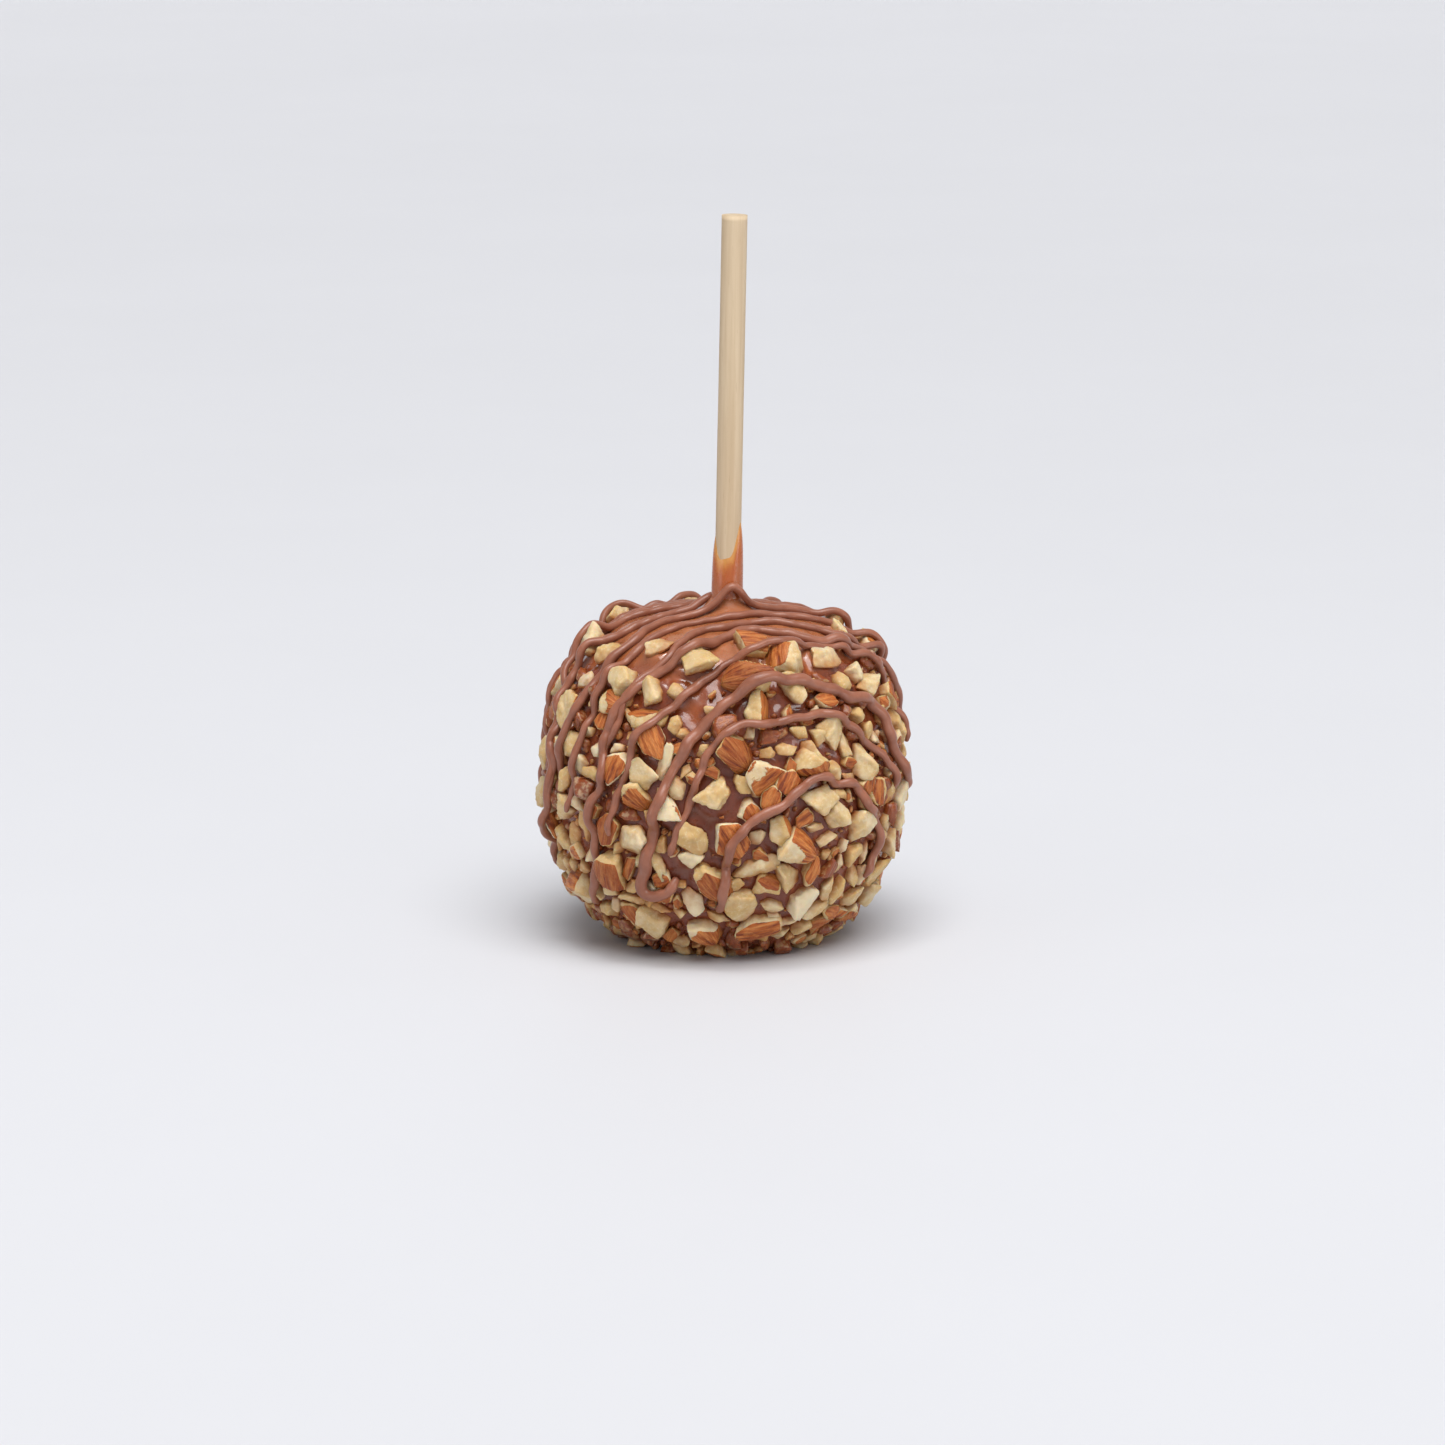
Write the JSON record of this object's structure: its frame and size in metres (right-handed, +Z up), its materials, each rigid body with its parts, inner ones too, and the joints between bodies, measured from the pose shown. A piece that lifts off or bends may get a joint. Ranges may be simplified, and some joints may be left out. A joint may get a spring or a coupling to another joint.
{
  "type": "caramel apple",
  "caption": "Apple coated in caramel, rolled in chopped almonds and drizzled with milk chocolate, on a round wooden stick.",
  "frame": {"origin": "middle of the flat foot that the apple stands on", "axes": "+Z up along the stick, -Y towards the viewer of the side with the drizzle's low turn, +X to that viewer's right"},
  "size_m": [0.0937, 0.0994, 0.181],
  "materials": {
    "caramel": "glossy, sticky caramel, orange where thin and brown where thick",
    "almond": "dry broken cream flesh with ridged reddish-brown skin",
    "milk_chocolate": "satin, set milk chocolate",
    "stick_wood": "plain unvarnished birch dowel"
  },
  "bodies": {
    "root": {"coated_apple": "caramel", "stick": "stick_wood"}
  },
  "joints": []
}
